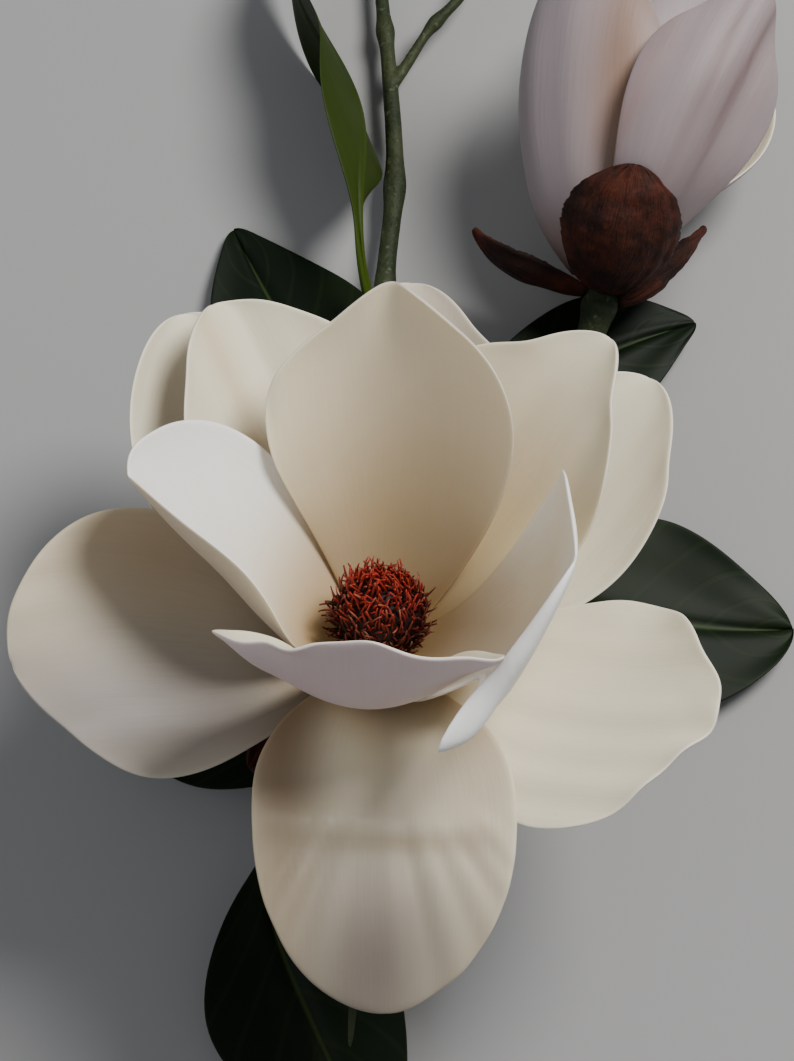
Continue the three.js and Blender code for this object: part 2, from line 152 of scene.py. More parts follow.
# ---------------------------------------------------------------- relief on a sheet
#
# Each of these gives a height off the sheet's middle surface, in mm towards its upper or inner side, as a
# function of u, from foot to tip, and t, from -1 to 1 across. On a petal, t counts in half widths of its
# widest place all the way, so that its folds run side by side where it narrows.

CURL_POWER = 1.4
WHOLE_TURN = 6.3


def window(x, low, high, soft=0.12):
    return ramp((x - low) / soft + 0.5) * ramp((high - x) / soft + 0.5)


def margin_wave(height, count, start=0.0, between_sides=1.3):
    def relief(u, t):
        phase = 2 * math.pi * (count * u + start) + between_sides * np.sign(t)
        return height * np.sin(phase) * np.abs(t) ** 3 * ramp(3 * u)

    return relief


def tip_wave(height, count, start=0.0, begin=0.75):
    return lambda u, t: height * np.sin(2 * math.pi * (count * t + start)) * ramp((u - begin) / (1 - begin))


def tip_curl(height, begin, low=-1.5, high=1.5, soft=0.3):
    return lambda u, t: height * ramp((u - begin) / (1 - begin)) ** CURL_POWER * window(t, low, high, soft)


def margin_curl(height, side, begin, low=-0.5, high=1.5, soft=0.2):
    def relief(u, t):
        return height * ramp((side * t - begin) / (1 - begin)) ** CURL_POWER * window(u, low, high, soft)

    return relief


def fold(height, at, spread, begin=0.0, end=1.3, soft=0.3):
    return lambda u, t: height * np.exp(-(((t - at) / spread) ** 2)) * window(u, begin, end, soft)


def cross_fold(height, at, spread, low=-1.5, high=1.5, soft=0.5):
    return lambda u, t: height * np.exp(-(((u - at) / spread) ** 2)) * window(t, low, high, soft)


def wrinkles(height, count, begin, seed, end=1.3, soft=0.3):
    """Lengthwise wrinkles of mixed widths that run at a slight slant."""
    draw = np.random.default_rng(seed)
    waves = [
        (count * draw.uniform(0.5, 1.5), draw.uniform(0, WHOLE_TURN), draw.uniform(-3, 3)) for _ in range(5)
    ]

    def relief(u, t):
        total = sum(np.sin(c * math.pi * t + p + slant * u) for c, p, slant in waves)
        return height * total / len(waves) * window(u, begin, end, soft)

    return relief


def fan(height, count, at, seed, soft=0.25):
    """Wrinkles that spread out from a fold at u = at towards the tip, and are lower at the margins."""
    draw = np.random.default_rng(seed)
    waves = [(count * draw.uniform(0.5, 1.5), draw.uniform(0, WHOLE_TURN)) for _ in range(4)]
    start_width = 0.18
    lower_at_margins = 0.6

    def relief(u, t):
        spread = t / (start_width + np.maximum(u - at, 0)) * 0.5
        total = sum(np.sin(c * math.pi * spread + p) for c, p in waves)
        heights = height * total / len(waves) * window(u, at + 0.1, 1.3, soft)
        return heights * (1 - lower_at_margins * np.abs(t) ** 2)

    return relief


def rumple(height, size, seed):
    """Soft bumps of about the given size, as a share of the sheet."""
    draw = np.random.default_rng(seed)
    waves = [
        (draw.normal(0, 1 / size), draw.normal(0, 1 / size), draw.uniform(0, WHOLE_TURN)) for _ in range(8)
    ]
    return lambda u, t: height * sum(np.sin(2 * a * u + b * t + p) for a, b, p in waves) / 4


# ---------------------------------------------------------------- sheets
#
# A sheet is a petal, leaf or scale. Its turn is the heading that it grows towards, and its foot says how far
# out from its place's axis it starts, and how far up along that axis. From foot to tip, open is its angle
# away from the axis, lean its angle to one side, roll its twist, and cup how steeply its margins stand up.
# Its foot_thickness and rim are shares of its thickness.
#
# A shape is an outline. Its widths are shares of the greatest width, and its lengths are shares of the whole
# length. After the stalk it is claw wide, then at widest it is widest, and its tip is tip_width wide, with
# corners that lie back by arch. The other values are the powers of its curves.

PETAL_SHAPE = dict(
    stalk=0, claw=0.24, widest=0.6, tip_width=0.55, rise=1.15, fall=2.1, arch=0.15, arch_power=2,
)
LEAF_SHAPE = dict(
    stalk=0.12, claw=0.07, widest=0.5, tip_width=0.18, rise=1, fall=1.6, arch=0.05, arch_power=1.6,
)
SCALE_SHAPE = dict(
    stalk=0, claw=0.4, widest=0.5, tip_width=0.45, rise=1, fall=2, arch=0.16, arch_power=1.6,
)
SPINE_STEPS = 96
OUTLINE_ROWS = 200
OUTLINE_COLUMNS = 80
OUTLINE_STEP = 0.25
CORNER_ROUNDING = 9
LEAST_HALF_WIDTH = 0.25

# How far the foot's thickness reaches, the thickness along the middle, how the thickness rounds off towards
# the margins and the tip, and where the pale rim, a painted highlight, begins.
FOOT_REACH = 0.25
MIDRIB_THICKNESS = 1.15
MARGIN_POWER = 30
TIP_POWER = 50
RIM_AT_T = 0.95
RIM_AT_U = 0.985

INNER = 1
OUTER = 0


def half_outline(shape, u):
    """Half the outline's width at u, as a share of the greatest half width."""
    v = np.maximum(0, (u - shape["stalk"]) / (1 - shape["stalk"]))
    widest = shape["widest"]
    low = mix(shape["claw"], 1, np.sin(math.pi / 2 * np.clip(v / widest, 0, 1)) ** shape["rise"])
    high = mix(1, shape["tip_width"], np.clip((v - widest) / (1 - widest), 0, 1) ** shape["fall"])
    return np.where(v < widest, low, high)


def softened(curve, radius):
    """A run of points with its corners rounded off."""
    length = np.concatenate([[0], np.cumsum(np.linalg.norm(np.diff(curve, axis=0), axis=1))])
    even = np.arange(0, length[-1], OUTLINE_STEP)
    points = np.column_stack([np.interp(even, length, curve[:, i]) for i in (0, 1)])
    reach = int(radius / OUTLINE_STEP)
    weights = np.hanning(2 * reach + 1)
    weights /= weights.sum()
    padded = np.pad(points, ((reach, reach), (0, 0)), mode="reflect", reflect_type="odd")
    return np.column_stack([np.convolve(padded[:, i], weights, mode="valid") for i in (0, 1)])


def half_width(sheet, k):
    """Half the width in mm at k, from foot to tip, with the outline's corners rounded off at the tip."""
    shape = {**sheet["shape"], **sheet.get("outline", {})}
    u = np.linspace(0, 1, OUTLINE_ROWS)
    t = np.linspace(1, -1, OUTLINE_COLUMNS)[1:]
    margin = np.column_stack([u - shape["arch"] * u**3, half_outline(shape, u)])
    tip = np.column_stack([1 - shape["arch"] * np.abs(t) ** shape["arch_power"], shape["tip_width"] * t])
    curve = np.vstack([margin, tip, margin[::-1] * (1, -1)])
    curve = softened(curve * (sheet["length"], sheet["width"] / 2), CORNER_ROUNDING)
    curve = curve[: len(curve) // 2]
    always_rising = np.arange(len(curve)) * 1e-9
    run = np.maximum.accumulate(curve[:, 0]) + always_rising
    run = (run - run[0]) / (run[-1] - run[0])
    return np.interp(k, run, np.maximum(curve[:, 1], LEAST_HALF_WIDTH))


def spine(place, sheet):
    """The points, side directions and inner directions of a sheet's midrib."""
    radial = towards(place, sheet["turn"])
    across = towards(place, sheet["turn"] + 90)
    k = np.linspace(0, 1, SPINE_STEPS + 1)
    bends = [np.radians(along(sheet.get(key, (0, 0)), k)) for key in ("open", "lean", "roll")]
    forward = turned(place["axis"], radial, bends[0])
    inner = turned(-radial, place["axis"], bends[0])
    tangent = turned(forward, across, bends[1])
    sideways = turned(across, -forward, bends[1])
    out, up = sheet["foot"]
    foot = place["origin"] + out * radial + up * place["axis"]
    steps = (tangent[:-1] + tangent[1:]) / 2 * sheet["length"] / SPINE_STEPS
    points = foot + np.vstack([np.zeros(3), np.cumsum(steps, 0)])
    return points, turned(sideways, inner, bends[2]), turned(inner, -sideways, bends[2])


def lateral(sheet, u, t):
    """The place across a sheet that its relief and veins follow: a petal's run side by side at its tip."""
    if sheet["shape"] is not PETAL_SHAPE:
        return t
    return t * half_width(sheet, u) / (sheet["width"] / 2)


def nicks(u, t):
    """An uneven run of small nicks along the two margins."""
    return np.sin(61 * u) + np.sin(37 * u + 2 * np.sign(t)) + np.sin(113 * u + 1)


def surface(place, sheet, u, t):
    """The sheet's middle surface at u and t.

    A bulge widens one side of the outline round at_u, and a curl rolls one side's margin from begin outwards
    by an angle, between two places along the sheet.
    """
    step = np.minimum((u * SPINE_STEPS).astype(int), SPINE_STEPS - 1)
    share = (u * SPINE_STEPS - step)[..., None]
    at, across, inner = (mix(line[step], line[step + 1], share) for line in spine(place, sheet))
    half = half_width(sheet, u)
    for side, at_u, spread, height in sheet.get("bulges", []):
        half = half + height * np.exp(-(((u - at_u) / spread) ** 2)) * (side * t > 0)
    ragged = sheet.get("ragged", 0)
    if ragged:
        half = half * (1 + ragged * nicks(u, t) * np.abs(t) * ramp(3 * u))
    angle = np.radians(along(sheet["cup"], u)) * t
    for side, begin, turn, low, high in sheet.get("curls", []):
        curled = ramp((side * t - begin) / (1 - begin))
        angle = angle + side * math.radians(turn) * curled * window(u, low, high, 0.25)
    run = np.diff(t, axis=1) * (half[:, 1:] + half[:, :-1]) / 2
    turns = (angle[:, 1:] + angle[:, :-1]) / 2
    sideways, rise = (np.pad(np.cumsum(way(turns) * run, 1), ((0, 0), (1, 0))) for way in (np.cos, np.sin))
    middle = t.shape[1] // 2
    sideways = sideways - sideways[:, middle : middle + 1]
    rise = rise - rise[:, middle : middle + 1]
    rise = rise + sum(relief(u, lateral(sheet, u, t)) for relief in sheet.get("relief", []))
    return at + unit(across) * sideways[..., None] + unit(inner) * rise[..., None]


def crowded(k):
    """A run from -1 to 1, or from 0 to 1, made denser towards -1 and 1."""
    return (3 * k - k**3) / 2


def make_mesh(name, points, faces, paints=None):
    """A smooth mesh object from points in mm. Each of its paints is three numbers for each point."""
    mesh = bpy.data.meshes.new(name)
    mesh.from_pydata(((points - FOOTPRINT_MIDDLE) * MM).tolist(), [], faces)
    mesh.polygons.foreach_set("use_smooth", [True] * len(mesh.polygons))
    for key, paint in (paints or {}).items():
        colours = np.column_stack([paint, np.ones(len(points))]).astype(np.float32)
        mesh.color_attributes.new(key, "FLOAT_COLOR", "POINT").data.foreach_set("color", colours.ravel())
    piece = bpy.data.objects.new(name, mesh)
    bpy.context.collection.objects.link(piece)
    return piece


def halves(quad, start):
    """The two triangles of a four-sided face, cut from its corner number start to the opposite one."""
    a, b, c, d = quad[start:] + quad[:start]
    return [(a, b, c), (a, c, d)]


def painted_light(sheet, u, t, face):
    """What multiplies the colour of one face: its soft patches, most of them painted shade and painted
    highlights, and its thin pale rim, a painted highlight.
    """
    k = lateral(sheet, u, t)
    # The pale rim along the margins and the tip is a painted highlight.
    rim = np.maximum(ramp((np.abs(t) - RIM_AT_T) / (1 - RIM_AT_T)), ramp((u - RIM_AT_U) / (1 - RIM_AT_U)))
    total = mix(1, sheet.get("rim_highlight", 1), rim)[..., None] * np.ones(3)
    # Each patch multiplies in painted shade, and those with tints above 1 multiply in painted highlight.
    for side, at_u, at_k, reach_u, reach_k, colour in sheet.get("patches", []):
        if side == face:
            share = np.exp(-(((u - at_u) / reach_u) ** 2) - ((k - at_k) / reach_k) ** 2)
            total = total * mix(1, np.array(colour), share[..., None])
    return total.reshape(-1, 3)


def sheet_piece(name, place, sheet, rows, columns):
    """A closed mesh of a sheet, rounded off at its rim.

    It has two paints. One is its place: u, the share of the way across, and 1 inside, 0 outside or 0.5 at
    the rim. The other is its tint: the painted shade and painted highlights that multiply its colour.
    """
    u = crowded(np.linspace(0, 1, rows + 1))
    t = crowded(np.linspace(-1, 1, columns + 1))
    u, t = np.meshgrid(u, t, indexing="ij")
    middle = surface(place, sheet, u, t)
    normal = unit(np.cross(np.gradient(middle, axis=0), np.gradient(middle, axis=1)))
    lengthwise = mix(sheet["foot_thickness"], 1, ramp(u / FOOT_REACH))
    crosswise = mix(MIDRIB_THICKNESS, sheet["rim"], np.abs(t) ** 2)
    rounding = np.sqrt(np.clip(1 - np.abs(t) ** MARGIN_POWER, 0, 1) * np.clip(1 - u**TIP_POWER, 0, 1))
    half = sheet["thickness"] / 2 * (lengthwise * crosswise) * rounding
    middle[..., 2] = np.maximum(middle[..., 2], half)
    upper = (middle + normal * half[..., None]).reshape(-1, 3)
    lower = (middle - normal * half[..., None]).reshape(-1, 3)
    # The two faces share their points along the margins and the tip.
    inside = np.zeros(u.shape, bool)
    inside[:-1, 1:-1] = True
    inside = inside.ravel()
    up = np.arange(u.size)
    down = up.copy()
    down[inside] = u.size + np.arange(inside.sum())
    up = up.reshape(u.shape)
    down = down.reshape(u.shape)
    faces = []
    for i in range(rows):
        for j in range(columns):
            quads = [
                (up[i, j], up[i + 1, j], up[i + 1, j + 1], up[i, j + 1]),
                (down[i, j], down[i, j + 1], down[i + 1, j + 1], down[i + 1, j]),
            ]
            if i == rows - 1 and j in (0, columns - 1):
                # Cut so that no edge at the tip's corners belongs to more than two faces.
                quads = [triangle for quad in quads for triangle in halves(quad, int(j == 0))]
            faces += quads
    for j in range(columns):
        wall = [up[0, j], up[0, j + 1], down[0, j + 1], down[0, j]]
        faces.append(tuple(dict.fromkeys(int(x) for x in wall)))
    faces = [tuple(int(x) for x in face) for face in faces]
    points = np.vstack([upper, lower[inside]])
    side = np.where(half.ravel() > 0, 1.0, 0.5)
    # Near the foot a petal's veins spread with its width, and further out they run side by side.
    beyond_foot = ramp((u - 0.4) / 0.3)
    across = mix(t, lateral(sheet, u, t), beyond_foot)
    here = np.column_stack([u.ravel(), across.ravel() / 2 + 0.5, side])
    below = here[inside] * (1, 1, 0)
    # The painted shade and painted highlights of the inner and outer faces.
    painted_lights = np.vstack([painted_light(sheet, u, t, INNER), painted_light(sheet, u, t, OUTER)[inside]])
    return make_mesh(name, points, faces, {"place": np.vstack([here, below]), "painted_light": painted_lights})


def dress(piece, node, material):
    """Lets a piece stand for a node of the frame."""
    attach(piece, "root")
    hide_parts(node)
    piece.data.materials.append(material)


# ---------------------------------------------------------------- materials


class Nodes:
    """Builds a material's node tree."""

    def __init__(self, name):
        self.material = bpy.data.materials.new(name)
        self.material.use_nodes = True
        self.tree = self.material.node_tree
        self.shader = self.tree.nodes["Principled BSDF"]

    def add(self, kind, **settings):
        node = self.tree.nodes.new(kind)
        for key, value in settings.items():
            setattr(node, key, value)
        return node

    def link(self, start, end):
        self.tree.links.new(start, end)

    def set(self, **values):
        for key, value in values.items():
            self.shader.inputs[key.replace("_", " ")].default_value = value

    def paint(self, key):
        return self.add("ShaderNodeAttribute", attribute_name=key).outputs["Color"]

    def place(self):
        """The three numbers of the mesh's place."""
        paint = self.paint("place")
        split = self.add("ShaderNodeSeparateColor")
        self.link(paint, split.inputs[0])
        return split.outputs

    def math(self, operation, a, b=None, clamp=False):
        node = self.add("ShaderNodeMath", operation=operation, use_clamp=clamp)
        for socket, value in zip(node.inputs, (a, b)):
            if value is None:
                continue
            if isinstance(value, (int, float)):
                socket.default_value = value
            else:
                self.link(value, socket)
        return node.outputs[0]

    def range(self, value, low, high, out_low=0.0, out_high=1.0):
        node = self.add("ShaderNodeMapRange", interpolation_type="SMOOTHSTEP")
        self.link(value, node.inputs["Value"])
        for key, number in zip(("From Min", "From Max", "To Min", "To Max"), (low, high, out_low, out_high)):
            node.inputs[key].default_value = number
        return node.outputs[0]

    def noise(self, scale, detail=3.0, vector=None, roughness=0.5):
        node = self.add("ShaderNodeTexNoise")
        node.inputs["Scale"].default_value = scale
        node.inputs["Detail"].default_value = detail
        node.inputs["Roughness"].default_value = roughness
        if vector is None:
            vector = self.add("ShaderNodeTexCoord").outputs["Object"]
        self.link(vector, node.inputs["Vector"])
        return node.outputs[0]

    def stretched(self, place, across, lengthwise):
        """A texture place that runs across and along a sheet at different scales."""
        vector = self.add("ShaderNodeCombineXYZ")
        self.link(self.math("MULTIPLY", place[1], across), vector.inputs[0])
        self.link(self.math("MULTIPLY", place[0], lengthwise), vector.inputs[1])
        self.link(place[2], vector.inputs[2])
        return vector.outputs[0]

    def blend(self, factor, a, b, mode="MIX"):
        node = self.add("ShaderNodeMix", data_type="RGBA", blend_type=mode)
        for socket, value in ((node.inputs[0], factor), (node.inputs[6], a), (node.inputs[7], b)):
            if isinstance(value, tuple):
                socket.default_value = (*value, 1)
            elif isinstance(value, (int, float)):
                socket.default_value = value
            else:
                self.link(value, socket)
        return node.outputs[2]

    def bump(self, height, distance, strength=1.0):
        node = self.add("ShaderNodeBump")
        node.inputs["Strength"].default_value = strength
        node.inputs["Distance"].default_value = distance
        self.link(height, node.inputs["Height"])
        self.link(node.outputs[0], self.shader.inputs["Normal"])


VEIN_TINT = (0.5, 0.4, 0.3)
CLOUD_TINT = (0.93, 0.9, 0.9)


def petal_material(name, inner, outer, foot=(0.42, 0.29, 0.14), foot_shade_reach=0.42, streaks=0.03):
    """Fleshy petal: one colour inside and one outside, darker and browner towards the foot as painted shade
    where the bloom is deep, with faint lengthwise veins.
    """
    n = Nodes(name)
    place = n.place()
    colour = n.blend(n.range(place[2], 0.4, 0.6), outer, inner)
    # The patches of painted shade and highlight and the pale rim's painted highlight multiply the colour
    # here.
    colour = n.blend(1.0, colour, n.paint("painted_light"), "MULTIPLY")
    # Painted shade: darker and browner towards the foot, where the bloom is deep.
    shade = n.range(place[0], 0.0, foot_shade_reach, 1.0, 0.0)
    colour = n.blend(shade, colour, foot, "MULTIPLY")
    veins = n.noise(3.0, 4, n.stretched(place, 18, 1.1))
    vein_shade = n.range(veins, 0.35, 0.75, 0.0, streaks)
    colour = n.blend(vein_shade, colour, VEIN_TINT, "MULTIPLY")
    clouds = n.range(n.noise(24, 3), 0.3, 0.75, 0.0, 0.6)
    colour = n.blend(clouds, colour, CLOUD_TINT, "MULTIPLY")
    n.link(colour, n.shader.inputs["Base Color"])
    n.set(Roughness=0.5, Specular_IOR_Level=0.3, Subsurface_Weight=0.2, Subsurface_Scale=0.004)
    n.shader.inputs["Subsurface Radius"].default_value = (1.0, 0.75, 0.5)
    fine = n.noise(4.0, 4, n.stretched(place, 26, 2))
    height = n.math("ADD", n.math("MULTIPLY", veins, 0.7), n.math("MULTIPLY", fine, 0.3))
    n.bump(height, 0.001, 0.14)
    return n.material


def leaf_material(name, upper, lower, base, veins_at=9.0):
    """Leathery leaf: smooth and half glossy, with a dull underside and faint side veins.

    base is the colour of its rib, its veins and its foot.
    """
    n = Nodes(name)
    place = n.place()
    off_rib = n.math("ABSOLUTE", n.math("MULTIPLY", n.math("SUBTRACT", place[1], 0.5), 2.0))
    slant = n.math("SUBTRACT", place[0], n.math("MULTIPLY", off_rib, 0.22))
    bent = n.math("ADD", slant, n.math("MULTIPLY", n.noise(30, 2), 0.04))
    ribs = n.range(n.math("SINE", n.math("MULTIPLY", bent, veins_at * 2 * math.pi)), 0.8, 1.0)
    rib = n.range(off_rib, 0.0, 0.045, 1.0, 0.0)
    colour = n.blend(n.range(place[2], 0.4, 0.6), lower, upper)
    blotch = n.range(n.noise(22, 4), 0.35, 0.7, 0.0, 0.1)
    colour = n.blend(blotch, colour, base)
    colour = n.blend(n.range(place[0], 0.08, 0.3, 0.8, 0.0), colour, base)
    colour = n.blend(n.math("MULTIPLY", ribs, 0.06), colour, base)
    colour = n.blend(n.math("MULTIPLY", rib, 0.55), colour, base)
    n.link(colour, n.shader.inputs["Base Color"])
    n.set(Roughness=0.48, Specular_IOR_Level=0.09)
    height = n.math("ADD", n.math("MULTIPLY", ribs, -0.1), n.math("MULTIPLY", n.noise(180, 3), 0.12))
    height = n.math("ADD", height, n.math("MULTIPLY", n.noise(40, 3), 0.5))
    n.bump(height, 0.001, 0.25)
    return n.material


def scale_material():
    """Dry red-brown bud scale, wrinkled, with lighter patches and dark lines."""
    n = Nodes("bud_scale")
    place = n.place()
    patches = n.range(n.noise(70, 5, roughness=0.65), 0.38, 0.7)
    colour = n.blend(patches, (0.018, 0.006, 0.004), (0.085, 0.02, 0.01))
    lines = n.noise(3.0, 4, n.stretched(place, 26, 3))
    colour = n.blend(n.range(lines, 0.5, 0.75, 0.0, 0.6), colour, (0.006, 0.003, 0.003))
    n.link(colour, n.shader.inputs["Base Color"])
    n.set(Roughness=0.6, Specular_IOR_Level=0.2)
    n.bump(n.math("ADD", lines, n.noise(240, 4)), 0.0012, 0.7)
    return n.material


def bark_material():
    """Smooth green bark with paler blotches and fine pale specks."""
    n = Nodes("green_bark")
    blotch = n.range(n.noise(45, 5, roughness=0.6), 0.35, 0.7)
    colour = n.blend(blotch, (0.013, 0.02, 0.007), (0.04, 0.05, 0.02))
    specks = n.range(n.noise(420, 2), 0.62, 0.72)
    colour = n.blend(n.math("MULTIPLY", specks, 0.5), colour, (0.1, 0.12, 0.07))
    n.link(colour, n.shader.inputs["Base Color"])
    n.set(Roughness=0.6, Specular_IOR_Level=0.2)
    n.bump(n.math("ADD", n.noise(150, 4), n.noise(600, 2)), 0.0008, 0.5)
    return n.material


def stamen_material():
    """Dark red stamens. Their red is their own; their darkening towards their feet and low in the cone is
    painted shade, and the brighter red of their tips high up is a painted highlight. About one in seven has a
    pale tip.

    The place is how far along a stamen, how far up the cone, and a random number for each stamen.
    """
    n = Nodes("stamen")
    place = n.place()
    # Painted shade darkens the stamens towards their feet and low in the cone, and a painted highlight
    # brightens their tips high up.
    low = n.blend(place[0], (0.008, 0.0015, 0.001), (0.1, 0.011, 0.005))
    high = n.blend(place[0], (0.05, 0.004, 0.002), (0.34, 0.022, 0.009))
    colour = n.blend(n.range(place[1], 0.3, 0.9), low, high)
    pale = n.range(place[2], 0.8, 0.9)
    colour = n.blend(n.math("MULTIPLY", pale, n.range(place[0], 0.4, 1.0, 0, 0.5)), colour, (0.3, 0.16, 0.1))
    n.link(colour, n.shader.inputs["Base Color"])
    n.set(Roughness=0.6, Specular_IOR_Level=0.3)
    n.bump(n.noise(500, 3), 0.0005, 0.4)
    return n.material


def floor_material():
    n = Nodes("pale_floor")
    height_and_pick = n.blend(n.range(n.noise(3, 2), 0.3, 0.7), (0.325, 0.325, 0.325), (0.333, 0.333, 0.333))
    n.link(height_and_pick, n.shader.inputs["Base Color"])
    n.set(Roughness=0.9, Specular_IOR_Level=0.1)
    return n.material


# ---------------------------------------------------------------- the blooms' petals


def bow(end):
    """A sideways or twisting bend that grows towards the tip."""
    return (0, 0.35 * end, end)


def petal(turn, open, **more):
    # Every petal's margins and tip are lightened as a painted highlight.
    base = dict(
        turn=turn, open=open, length=106, width=80, foot=(9, 0), shape=PETAL_SHAPE, rim=0.8, rim_highlight=1.12,
        thickness=PETAL_THICKNESS, foot_thickness=0.9,
    )
    return {**base, **more}


BLOOM_PETALS = {
    "inner_petal_back": petal(
        168, (74, 41, 25, 19), foot=(7, 6), length=104, width=87, cup=(15, 50, 50, 25), lean=bow(15),
        roll=(0, -10), outline=dict(widest=0.65, tip_width=0.45, arch=0.1, arch_power=1.4),
        relief=[fold(-2.2, 0.02, 0.16, 0.8), margin_curl(-2.5, 1, 0.8, 0.55, 0.95)],
    ),
    "inner_petal_front": petal(
        -6, (72, 47, 26, 6), foot=(7, 6), length=107, width=84, cup=(15, 65, 45, 5),
        outline=dict(widest=0.8, tip_width=0.6, arch=0.1),
        relief=[
            tip_wave(1.0, 1.3, 0.1, 0.8), tip_curl(-5, 0.9, -1.3, -0.35), wrinkles(1.2, 4, 0.6, 4),
        ],
    ),
    "inner_petal_left": petal(
        -104, (73, 43, 39, 30), foot=(8, 5), length=91, width=78, cup=(15, 45, 50, 35), lean=bow(15),
        roll=(0, 32), outline=dict(widest=0.62, tip_width=0.54, arch=0.1),
        relief=[rumple(0.5, 0.4, 3)],
    ),
    "inner_petal_right": petal(
        60, (64, 45, 19, 17), foot=(8.5, 4.5), length=103, width=89, cup=(15, 35, 25, 25), lean=bow(-10),
        roll=(0, 20), outline=dict(widest=0.65, arch=0.1),
        bulges=[(-1, 0.45, 0.14, -24), (-1, 0.66, 0.07, 13)], curls=[(-1, 0.78, 150, 0.72, 1.3)],
        relief=[wrinkles(0.4, 6, 0.1, 8, 0.8)],
    ),
    "middle_petal_right": petal(
        137, (66, 55, 50, 56), foot=(9.5, 4), length=105, width=86, cup=(15, 35, 40, 35), lean=bow(-5),
        roll=(0, -10), outline=dict(widest=0.55, tip_width=0.45),
        relief=[margin_wave(1.5, 1.6, 0.2), wrinkles(0.9, 5, 0.4, 11)],
    ),
    "middle_petal_left": petal(
        -155, (78, 63, 52, 54), foot=(9.5, 4), length=108, width=78, cup=(15, 35, 40, 40), lean=bow(10),
        roll=(0, 15), outline=dict(widest=0.55, tip_width=0.65),
        relief=[fold(-4, -0.15, 0.22, 0.6), tip_wave(1.2, 1.0, 0.2), wrinkles(0.9, 4, 0.35, 17)],
    ),
    "outer_petal_front": petal(
        1, (64, 88, 115, 134), length=111, width=75, cup=(15, 25, 10, -15), roll=(0, -10),
        outline=dict(widest=0.5, tip_width=0.6, arch=0.1),
        relief=[
            fold(3, -0.25, 0.22, 0.1, 0.55), cross_fold(1.8, 0.54, 0.045, -0.8, 0.8), fan(1.8, 5, 0.45, 5),
            margin_wave(1.2, 2.5, 0.2),
        ],
    ),
    "outer_petal_right": petal(
        61, (74, 80, 64, 59), length=103, width=81, cup=(15, 5, -5, 20), lean=bow(5), roll=(0, 15),
        outline=dict(tip_width=0.45, arch=0.1),
        relief=[margin_wave(1.2, 2.8, 0.6), wrinkles(0.9, 6, 0.3, 6), tip_wave(1.0, 2.0, 0.1, 0.85)],
    ),
    "outer_petal_left": petal(
        -82, (73, 73, 74, 99), length=101, width=87, cup=(15, 15, 10, 20), lean=bow(10), roll=(0, -25),
        outline=dict(arch=0.1),
        relief=[rumple(1.6, 0.45, 7), wrinkles(0.6, 5, 0.3, 9)],
    ),
    "outer_petal_back": petal(
        175, (72, 69, 62, 63), length=112, width=82, cup=(15, 25, 35, 30), roll=(0, -5),
        outline=dict(widest=0.55), relief=[rumple(0.8, 0.4, 12)],
    ),
    "outer_petal_back_right": petal(
        129, (89, 80, 63, 65), length=114, width=71, cup=(15, 20, 35, 35), lean=bow(15), roll=(0, 5),
        outline=dict(tip_width=0.7, arch=0.2), relief=[wrinkles(0.5, 4, 0.3, 13)],
    ),
    "outer_petal_back_left": petal(
        -141, (88, 73, 55, 48), length=117, width=76, cup=(15, 25, 35, 35), lean=bow(-15), roll=(0, 5),
        outline=dict(tip_width=0.6, arch=0.1), relief=[rumple(0.8, 0.4, 14)],
    ),
}


def bud_petal(turn, open, **more):
    base = dict(length=112, width=68, cup=(20, 56, 54, 44), foot=(7, 3))
    return petal(turn, open, **{**base, **more})


BUD_PETALS = {
    "bud_petal_heart": bud_petal(40, (34, 16, 0, -12), foot=(6, 4), width=60),
    "bud_petal_back_left": bud_petal(-124, (30, 14, 0, -10), foot=(6, 4), width=60),
    "bud_petal_back": bud_petal(202, (34, 18, 4, -6), foot=(7, 2.5), width=50, cup=(20, 48, 52, 44)),
    "bud_petal_right": bud_petal(
        130, (4, 42, 14, -1), foot=(8, 1), length=114, width=50, cup=(20, 24, 16, 30), outline=dict(rise=1.7),
    ),
    "bud_petal_left": bud_petal(
        -44, (62, 26, 6, -8), foot=(7.5, 1), length=116, width=74, cup=(20, 62, 64, 58),
        outline=dict(tip_width=0.65), relief=[wrinkles(1.2, 2.6, 0.2, 21), rumple(0.8, 0.3, 24)],
    ),
    "bud_petal_front": bud_petal(
        14, (60, 42, 8, -6), foot=(8.5, -0.5), width=52, cup=(20, 32, 40, 42), lean=bow(22),
        outline=dict(widest=0.68, tip_width=0.6, rise=1.5),
        relief=[wrinkles(1.6, 2.8, 0.15, 25), rumple(1.2, 0.25, 23)],
    ),
}

CREAM = (0.82, 0.755, 0.575)
# The white is the cream petal lightened as painted light, for the two inner petals that the light strikes
# most.
LIT_WHITE = (0.94, 0.94, 0.9)
LILAC = (0.55, 0.49, 0.49)
DUSKY_LILAC = (0.33, 0.28, 0.295)

petal_look = petal_material("petal", CREAM, LILAC)
lit_look = petal_material("petal_painted_lit", LIT_WHITE, LIT_WHITE, foot_shade_reach=0.5)
bud_look = petal_material(
    "petal_bud", CREAM, DUSKY_LILAC, foot=(0.75, 0.62, 0.5), foot_shade_reach=0.3, streaks=0.08,
)

# The left and right inner petals take the white, lit copy of the petal: painted light where the light falls
# on them most.
LOOKS = {"inner_petal_left": lit_look, "inner_petal_right": lit_look}
